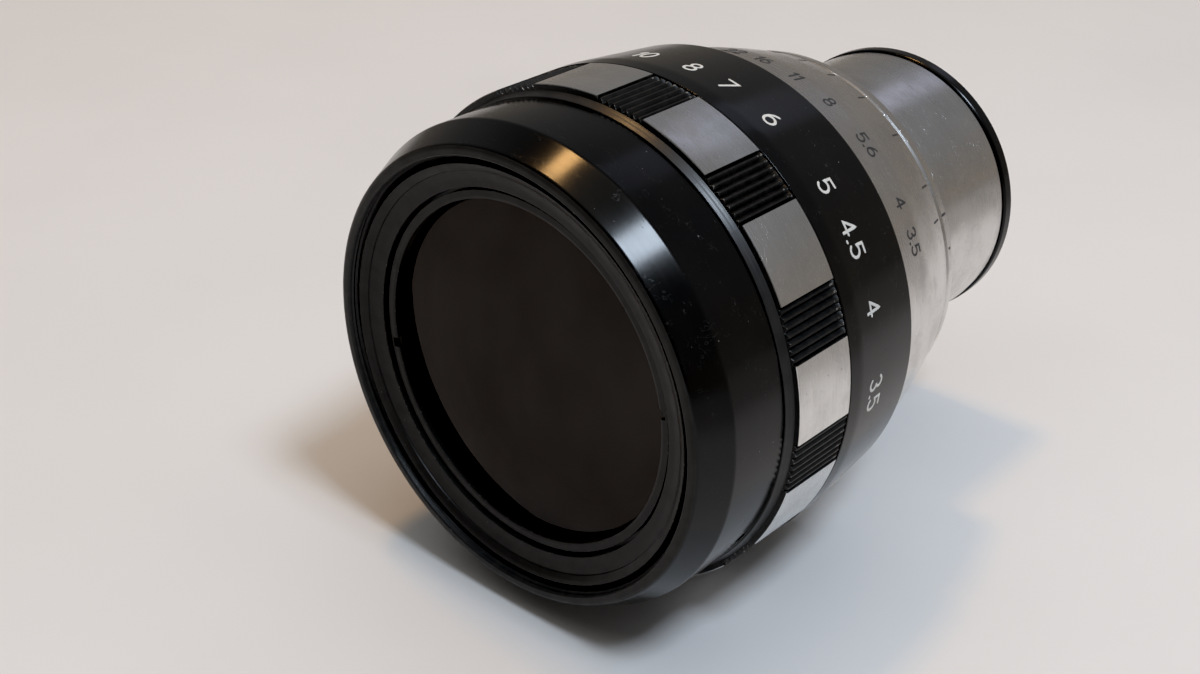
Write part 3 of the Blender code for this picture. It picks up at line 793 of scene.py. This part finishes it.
def rear_group():
    """Rear cell with stepped light traps, rear glass and its ring."""
    cell = Turned("rear_cell")
    barrel, mouth, throat = 19.8, 18.0, 16.4
    corners = [
        (cell.front, throat, 0.1), (cell.front, cell.outer, 0.12), (cell.front + 2.0, cell.outer, 0.12),
        (cell.front + 2.0, barrel, 0.1), (cell.rear, barrel, 0.15), (cell.rear, mouth, 0.12),
        (cell.front + 11.3, mouth), (cell.front + 11.3, throat, 0.1),
    ]
    turned("rear_cell_turned", corners, ANODISED, "lens_head", "rear_cell")
    glass("rear_element", 1.4, -1.6, GLASS_INNER)
    ring = Turned("rear_retaining_ring")
    corners = [(ring.front, ring.bore, 0.08), (ring.front, ring.outer, 0.1), (ring.rear, ring.outer, 0.12),
               (ring.rear, ring.bore + 0.4, 0.1), (ring.rear - 0.3, ring.bore, 0.08)]
    piece = lathe("rear_retaining_ring_notched", rounded(corners), ANODISED)
    cut_blocks(piece, REAR_NOTCHES, ring.bore, ring.rear, (1.4, 1.2, 1.4))
    place(piece, "lens_head", "rear_retaining_ring")


# Focusing ring


def grip_angles():
    """Turn angle, radius drop, groove share and land flag at each point of one pitch of the grip."""
    pitch = 360 / LANDS
    land_steps, side, edge, edge_drop = 12, 0.10, 0.06, 0.05
    points = [(-LAND_HALF_ANGLE - edge, edge_drop, 0.0, False)]
    for i in range(land_steps + 1):
        turn = -LAND_HALF_ANGLE + 2 * LAND_HALF_ANGLE * i / land_steps
        points.append((turn, 0.0, 0.0, True))
    points.append((LAND_HALF_ANGLE + edge, edge_drop, 0.0, False))
    start = LAND_HALF_ANGLE + edge + side
    width = (pitch - 2 * start) / RIDGES
    for ridge in range(RIDGES):
        for share, depth in ((0.0, 1.0), (0.40, 0.0), (0.60, 0.0)):
            points.append((start + (ridge + share) * width, RIDGE_DROP, depth, False))
    points.append((pitch - start, RIDGE_DROP, 1.0, False))
    return points


def grip_rows(front, rear):
    """Station, drop below the lands and groove share of the rows of the smooth collar and of the grip."""
    collar = Turned("front_barrel").rear + 0.12
    edge, run_out, run_out_steps, middle_steps = 0.3, 1.5, 6, 4
    collar_rows = [(collar, 1.5, 1.0), (collar + 0.06, 1.38, 1.0), (front - 0.05, 0.90, 1.0),
                   (front, 0.87, 1.0)]
    rows = [(front + 0.02, 0.12, 1.0), (front + 0.08, 0.04, 1.0), (front + edge, 0.0, 1.0)]
    straight = rear - front - run_out - edge
    rows += [(front + edge + straight * i / middle_steps, 0.0, 1.0) for i in range(1, middle_steps + 1)]
    for i in range(1, run_out_steps + 1):
        share = i / run_out_steps
        station = rear - run_out * (1 - share) - 0.14 * share
        rows.append((station, 0.0, sqrt(1 - (0.97 * share) ** 2)))
    rows.append((rear, 0.16, 0.24))
    return collar_rows, rows


def grip_ring():
    """Zebra grip: bright lands, black ridges that run out at the rear, and a smooth collar in front."""
    at = Turned("grip_ring")
    rear = Turned("distance_ring").front - 0.02
    collar_rows, grip = grip_rows(at.front, rear)
    rows, collar_count = collar_rows + grip, len(collar_rows)
    pattern = grip_angles()
    around = [(FIRST_LAND + 360 / LANDS * land + turn, *rest) for land in range(LANDS)
              for turn, *rest in pattern]
    vertices, wear, faces, painted = [], [], [], []
    for row, (station, chamfer, groove) in enumerate(rows):
        on_grip = row >= collar_count
        for turn, drop, depth, land in around:
            under = drop + max(chamfer, depth * RIDGE_DEPTH * groove) if on_grip else chamfer
            vertices.append(on_axis_circle(at.outer - under, turn, station))
            edge = on_grip and (chamfer > 0 or groove < 0.95 and not land and depth < 0.5)
            crest = 0.35 * (1 - depth) if on_grip and not land else 0.0
            wear.append(1.0 if edge else crest)
    for station in (rear, collar_rows[0][0]):
        for turn, *_ in around:
            vertices.append(on_axis_circle(at.bore, turn, station))
            wear.append(0.0)
    count, ring_count = len(around), len(rows) + 2
    bright, crinkle, smooth_black = range(3)
    for j in range(ring_count):
        faces += band(j * count, (j + 1) % ring_count * count, count)
        on_top = collar_count < j + 1 < len(rows)
        for i in range(count):
            on_land = on_top and around[i][3] and around[(i + 1) % count][3]
            painted.append(bright if on_land else smooth_black if j < collar_count - 1 else crinkle)
    ring = new_piece("grip_ring_zebra", vertices, faces, wear, [BRIGHT, CRINKLE, ANODISED], painted)
    screws = [RadialScrew(name) for name in ("grip_screw_1", "grip_screw_2")]
    cut_screw_holes(ring, screws, SCREW_HOLE, at.bore - 1, at.outer + 1)
    place(ring, "focus_ring", "grip_ring")
    for screw in screws:
        grub_screw(screw, "focus_ring", screw.outer)


def taper(front, front_radius, rear, rear_radius):
    """A ring's outer radius as a function of the station."""
    slope = (rear_radius - front_radius) / (rear - front)
    return lambda station: front_radius + slope * (station - front)


def arc(centre, size, start, end, steps=14):
    """Points of an elliptical arc between two angles in degrees."""
    angles = [radians(start + (end - start) * i / steps) for i in range(steps + 1)]
    return [(centre[0] + size[0] * cos(a), centre[1] + size[1] * sin(a)) for a in angles]


def infinity():
    """The stroke of a lying eight."""
    steps, points = 40, []
    for i in range(steps + 1):
        t = FULL_TURN * i / steps
        squeeze = 0.46 / (1 + sin(t) ** 2)
        points.append((0.5 + squeeze * cos(t), 0.45 + 1.25 * squeeze * sin(t) * cos(t)))
    return points


# Strokes of plain round-ended figures in a cell one unit high: (width, list of strokes).
FIGURES = {
    "0": (0.56, [arc((0.28, 0.5), (0.28, 0.5), 90, 450, 28)]),
    "1": (0.22, [[(0.0, 0.78), (0.18, 1.0), (0.18, 0.0)]]),
    "2": (0.54, [arc((0.27, 0.73), (0.27, 0.27), 165, -35) + [(0.0, 0.0), (0.54, 0.0)]]),
    "3": (0.52, [arc((0.25, 0.76), (0.24, 0.24), 150, -90)
                 + arc((0.25, 0.27), (0.27, 0.27), 90, -150)[1:]]),
    "4": (0.60, [[(0.44, 0.0), (0.44, 1.0), (0.0, 0.30), (0.60, 0.30)]]),
    "5": (0.54, [[(0.50, 1.0), (0.08, 1.0), (0.05, 0.56)] + arc((0.25, 0.32), (0.29, 0.32), 128, -145)]),
    "6": (0.56, [arc((0.28, 0.30), (0.28, 0.30), 0, 360, 24), arc((0.58, 0.32), (0.58, 0.68), 180, 112)]),
    "7": (0.54, [[(0.0, 1.0), (0.54, 1.0), (0.18, 0.0)]]),
    "8": (0.54, [arc((0.27, 0.76), (0.22, 0.24), 90, 450, 22),
                 arc((0.27, 0.26), (0.27, 0.26), 90, 450, 24)]),
    ".": (0.05, [[(0.0, 0.0), (0.05, 0.0)]]),
    "inf": (1.0, [infinity()]),
}


def written(text, height):
    """Strokes of a number in (across, up) millimetres, centred on its own middle."""
    glyphs = [text] if text in FIGURES else list(text)
    width = sum(FIGURES[g][0] for g in glyphs) + FIGURE_GAP * (len(glyphs) - 1)
    left, strokes = -width / 2, []
    for glyph in glyphs:
        for stroke in FIGURES[glyph][1]:
            strokes.append([((left + x) * height, (y - 0.5) * height) for x, y in stroke])
        left += FIGURES[glyph][0] + FIGURE_GAP
    return strokes


def upright(half_length):
    """The stroke of a tick along the lens."""
    return [[(0.0, -half_length), (0.0, half_length)]]


def bead_sections(stroke, half_width):
    """Sections (middle, direction, half width) of a bead along a stroke, and whether it is closed."""
    path = [Vector(p) for p in stroke]
    fine = [path[0]]
    for a, b in zip(path, path[1:]):
        steps = max(1, ceil((b - a).length / BEAD_STEP))
        fine += [a.lerp(b, i / steps) for i in range(1, steps + 1)]
    closed = (fine[0] - fine[-1]).length < 1e-4
    if closed:
        fine.pop()
    sections, last = [], len(fine) - 1
    for i, p in enumerate(fine):
        ahead = (fine[(i + 1) % len(fine)] - p).normalized()
        behind = (p - fine[i - 1]).normalized()
        if not closed and i == last:
            ahead = behind
        if not closed and i == 0:
            behind = ahead
        along = behind + ahead
        along = along.normalized() if along.length > 0.2 else ahead
        spread = min(1.6, 1 / max(0.5, along.dot(ahead)))
        sections.append((p, along, half_width * spread))
    if not closed:
        sections = round_end(sections[0], -1)[::-1] + sections + round_end(sections[-1], 1)
    return sections, closed


def round_end(section, sign):
    """The sections that round off a stroke's start, with sign -1, or its end."""
    p, along, width = section
    angles = (radians(30), radians(58), radians(80))
    return [(p + along * sign * width * sin(a), along, width * cos(a)) for a in angles]


def add_bead(stroke, surface, turn, station, half_width, vertices, faces):
    """Sweeps a flat rounded bead along a stroke laid on the surface round a turn angle and station."""
    profile = [(1.0, 0.0), (0.8, 1.0), (0.0, 1.25), (-0.8, 1.0), (-1.0, 0.0), (-0.8, -1.0), (0.8, -1.0)]
    sections, closed = bead_sections(stroke, half_width)
    base = len(vertices)
    for p, along, width in sections:
        side = Vector((along.y, -along.x))
        for across, up in profile:
            q = p + side * across * width
            y = station + q.y
            at_turn = turn - degrees(q.x / surface(y))
            vertices.append(on_axis_circle(surface(y) + up * STROKE_HALF_DEPTH, at_turn, y))
    size, count = len(profile), len(sections)
    for j in range(count if closed else count - 1):
        faces += band(base + j * size, base + (j + 1) % count * size, size)
    if not closed:
        faces.append(tuple(base + i for i in range(size)))
        faces.append(tuple(base + (count - 1) * size + i for i in range(size)))


def marked(name, surface, station, marks, half_width, material, body):
    """One piece with all the figures or lines of a scale; marks are (turn angle, strokes)."""
    vertices, faces = [], []
    for turn, strokes in marks:
        for stroke in strokes:
            add_bead(stroke, surface, turn, station, half_width, vertices, faces)
    piece = new_piece(name, vertices, faces, materials=[material])
    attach(piece, body)


def focus_turn_for(distance):
    """How far the focusing ring has turned, in degrees, to focus at a distance in metres."""
    if distance == "inf":
        return 0.0
    metres = float(distance) * 1000
    return FOCUS_TURN * FOCAL_LENGTH ** 2 / (metres - FOCAL_LENGTH) / FOCUS_TRAVEL


def distance_ring():
    """Black tapering ring with the distance figures."""
    at = Turned("distance_ring")
    land, small = at.front + 2.5, at.outer - 1.4
    corners = [(at.front, at.bore, 0.1), (at.front, at.outer, 0.15), (land, at.outer, 0.6),
               (at.rear, small, 0.22), (at.rear, at.bore, 0.1)]
    turned("distance_ring_black", corners, BLACK, "focus_ring", "distance_ring")
    surface = taper(land, at.outer, at.rear, small)
    marks = [(FOCUS_INDEX - focus_turn_for(d), written(d, DISTANCE_FIGURE)) for d in DISTANCES]
    marked("distance_figures", surface, at.front + 6.6, marks, DISTANCE_STROKE, WHITE_FILL, "focus_ring")


def focus_index():
    """White index line on the barrel beside the grip."""
    at = Turned("front_barrel")
    surface = taper(at.front, at.outer, at.rear, at.outer)
    marked("focus_index_line", surface, at.rear - 3.6, [(FOCUS_INDEX_LINE, upright(2.6))],
           FOCUS_INDEX_STROKE, WHITE_FILL, "lens_head")


# Aperture ring, index ring and rear tube


def aperture_ring():
    """Silver ring that tapers in three steps, with dark figures and ticks."""
    at = Turned("aperture_ring")
    shoulder, waist = (at.front + 6.6, at.outer - 1.1), (at.front + 12.7, at.outer - 2.8)
    end = at.outer - 4.0
    corners = [(at.front, at.bore, 0.1), (at.front, at.outer, 0.25), (*shoulder, 0.8), (*waist, 0.8),
               (at.rear, end, 0.2), (at.rear, at.bore, 0.1)]
    ring = lathe("aperture_ring_silver", rounded(corners), SATIN)
    screw = RadialScrew("fork_screw")
    cut_screw_holes(ring, [screw], FORK_SCREW_HOLE, at.bore - 0.2, at.outer + 1)
    place(ring, "aperture_control", "aperture_ring")
    grub_screw(screw, "aperture_control", screw.outer)
    upper = taper(at.front, at.outer, *shoulder)
    turns = {text: APERTURE_INDEX + turn for text, turn in APERTURES.items()}
    marked("aperture_figures", upper, at.front + 4.9,
           [(turn, written(text, APERTURE_FIGURE)) for text, turn in turns.items()],
           APERTURE_STROKE, DARK_FILL, "aperture_control")
    lower = taper(*waist, at.rear, end)
    marked("aperture_ticks", lower, at.rear - 1.7, [(turn, upright(0.9)) for turn in turns.values()],
           TICK_STROKE, DARK_FILL, "aperture_control")


def index_ring():
    """Narrow silver ring with the aperture index and an alignment dot."""
    at = Turned("index_ring")
    chamfer_end, taper_end = at.front + 0.6, at.rear - 0.5
    rear_radius = at.outer - 0.4
    corners = [(at.front, at.bore, 0.05), (at.front, at.outer - 0.2, 0.08), (chamfer_end, at.outer, 0.12),
               (taper_end, rear_radius, 0.12), (at.rear, at.bore, 0.05)]
    turned("index_ring_silver", corners, SATIN, "fixed_barrel", "index_ring")
    surface = taper(chamfer_end, at.outer, taper_end, rear_radius)
    marks = [(APERTURE_INDEX, upright(0.55)), (ALIGNMENT_DOT, upright(0.12))]
    marked("index_marks", surface, (at.front + at.rear) / 2 + 0.1, marks, INDEX_STROKE, DARK_FILL,
           "fixed_barrel")


def rear_tube():
    """Silver tube with a groove near its front and a step at its end, and the black rim behind it."""
    at = Turned("rear_tube")
    groove, groove_floor = at.front + 2.2, at.outer - 0.18
    end_radius = at.outer - 0.15
    corners = [
        (at.front, at.bore, 0.15), (at.front, at.outer, 0.2), (groove, at.outer, 0.08),
        (groove + 0.1, groove_floor, 0.05), (groove + 0.35, groove_floor, 0.05),
        (groove + 0.45, at.outer, 0.08), (at.rear - 1.6, at.outer, 0.08),
        (at.rear - 1.5, end_radius, 0.05), (at.rear, end_radius, 0.15), (at.rear, at.bore, 0.15),
    ]
    turned("rear_tube_silver", corners, SATIN, "fixed_barrel", "rear_tube")

    rim = Turned("rear_rim")
    corners = [(rim.front, rim.bore, 0.1), (rim.front, rim.outer - 0.2, 0.1),
               (rim.front + 0.3, rim.outer, 0.12), (rim.rear - 0.3, rim.outer, 0.15),
               (rim.rear, rim.outer - 0.35, 0.1), (rim.rear, rim.bore, 0.15)]
    turned("rear_rim_black", corners, BLACK, "fixed_barrel", "rear_rim")


def rear_baffle():
    """The light baffle inside the rear tube: a cone that narrows to the front, cut into sawtooth ridges."""
    at = Turned("rear_baffle")
    throat = at.bore + 0.6
    outer_wall = rounded([(at.front, at.bore, 0.1), (at.front, at.outer, 0.1),
                          (at.front + 0.6, at.outer, 0.1), (at.front + 0.6, throat, 0.05)], closed=False)
    ridges, end_radius, wall, ridge_length, ridge_height = 14, 18.2, 0.6, 0.35, 0.3
    cone = [(at.rear, end_radius, 0.0)]
    for i in range(ridges):
        share = i / ridges
        radius = end_radius - wall + (at.bore - end_radius + wall) * share
        station = at.rear + (at.front + 0.2 - at.rear) * share
        cone += [(station, radius, 0.5), (station - ridge_length, radius + ridge_height, 0.0)]
    place(lathe("rear_baffle_ridged", outer_wall + cone, MATT, segments=SEGMENTS // 2), "fixed_barrel",
          "rear_baffle")


# CAD nodes that keep their own shape


def keep_cad_nodes():
    """Inner pieces whose CAD shape is already right get a worn material of their own."""
    finishes = [
        (ANODISED, ("main_barrel", "rear_flange")),
        (BRASS, ("guide_tube", "thrust_ring", "iris_drive_ring")),
        (STEEL, ("guide_key_1", "guide_key_2", "key_screw_1", "key_screw_2", "focus_stop_pin",
                 "aperture_fork")),
        (DARK_STEEL, ("helicoid_ring",)),
        (MATT, ("iris_housing",)),
        (BLUED, [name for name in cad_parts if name.startswith("iris_blade_")]),
    ]
    for material, names in finishes:
        for name in names:
            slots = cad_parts[name].data.materials
            slots.clear()
            slots.append(material)


# Stage


def stage():
    """Pale table under the lens."""
    size, z = TABLE_HALF_SIZE, -Turned("grip_ring").outer
    corners = [(-size, -size, z), (size, -size, z), (size, size, z), (-size, size, z)]
    mesh = bpy.data.meshes.new("table")
    mesh.from_pydata([Vector(c) * MM for c in corners], [], [(0, 1, 2, 3)])
    mesh.materials.append(pale_floor())
    add_object("table", mesh)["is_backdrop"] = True


def room():
    """A dim room: brownish at the horizon, grey above it, pale at the top, and darker before the lens."""
    world = bpy.data.worlds.new("room")
    bpy.context.scene.world = world
    world.use_nodes = True
    make, link = world.node_tree.nodes.new, world.node_tree.links.new
    background = world.node_tree.nodes["Background"]
    coordinates = make("ShaderNodeTexCoord")
    split = make("ShaderNodeSeparateXYZ")
    ramp = make("ShaderNodeValToRGB")
    link(coordinates.outputs["Generated"], split.inputs[0])
    link(split.outputs["Z"], ramp.inputs[0])
    link(ramp.outputs[0], background.inputs["Color"])
    front = make("ShaderNodeMapRange")
    for key, number in (("From Min", -0.5), ("From Max", 0.2), ("To Min", 0.25), ("To Max", 1.0)):
        front.inputs[key].default_value = number
    link(split.outputs["Y"], front.inputs["Value"])
    link(front.outputs["Result"], background.inputs["Strength"])
    stops = [(0.0, (0.23, 0.20, 0.17)), (0.30, (0.21, 0.20, 0.19)), (0.60, (0.20, 0.205, 0.215)),
             (0.90, (0.14, 0.14, 0.14)), (1.0, (0.55, 0.53, 0.50))]
    elements = ramp.color_ramp.elements
    for i, (height, colour) in enumerate(stops):
        element = elements[i] if i < len(elements) else elements.new(height)
        element.position = height
        element.color = (*colour, 1.0)


def direction(azimuth, elevation):
    """The unit vector at an azimuth from +Y towards +X and an elevation, in degrees."""
    a, e = radians(azimuth), radians(elevation)
    return Vector((sin(a) * cos(e), cos(a) * cos(e), sin(e)))


def softbox(name, azimuth, elevation, size, radiance, mirrored=True):
    """An area light seen from the lens in a direction, with its sides in degrees."""
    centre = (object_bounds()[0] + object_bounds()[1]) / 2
    outward = direction(azimuth, elevation)
    light = bpy.data.lights.new(name, "AREA")
    light.shape = "RECTANGLE"
    light.size, light.size_y = (2 * LIGHT_DISTANCE * tan(radians(side / 2)) * MM
                                for side in size)
    brightest = max(radiance)
    light.energy = brightest * pi * light.size * light.size_y
    light.color = [c / brightest for c in radiance]
    lamp = add_object(name, light)
    lamp.location = centre + outward * LIGHT_DISTANCE * MM
    lamp.rotation_euler = outward.to_track_quat("Z", "Y").to_euler()
    lamp.visible_glossy = mirrored


def lights():
    """A cool window, a small warm lamp overhead, a dim bluish patch and a weak ceiling."""
    softbox("window", 99.6, 61.5, (12.5, 12.5), (28.0, 32.5, 38.0))
    softbox("lamp", -82.0, 74.0, (7, 7), (42.0, 24.0, 9.0))
    softbox("blue_patch", -8.0, 39.0, (13, 18), (0.26, 0.28, 0.38))
    softbox("ceiling", -30.0, 84.0, (80, 80), (0.55, 0.535, 0.505), mirrored=False)


def camera():
    """Looks down on the grip ring from the front right."""
    distance, lens, sensor = 227.5, 49.69, 36.0
    aim = Vector((0.75, Turned("grip_ring").front + 2.0, 0.0)) * MM
    outward = direction(180.0 - 41.95, 28.47)
    data = bpy.data.cameras.new("camera")
    data.lens, data.sensor_width, data.clip_start = lens, sensor, 0.01
    eye = add_object("camera", data)
    eye.location = aim + outward * distance * MM
    eye.rotation_euler = outward.to_track_quat("Z", "Y").to_euler()
    bpy.context.scene.camera = eye


def main():
    """Makes the lens from front to rear, and then the room round it."""
    view = bpy.context.scene.view_settings
    view.view_transform = "Standard"
    view.use_curve_mapping = True
    view.curve_mapping.black_level = (BLACK_LEVEL, BLACK_LEVEL, BLACK_LEVEL)
    for make in (front_barrel, front_trim, head_optics, male_helicoid, rear_group, grip_ring,
                 distance_ring, focus_index, aperture_ring, index_ring, rear_tube, rear_baffle,
                 keep_cad_nodes, stage, room, lights, camera):
        make()


main()
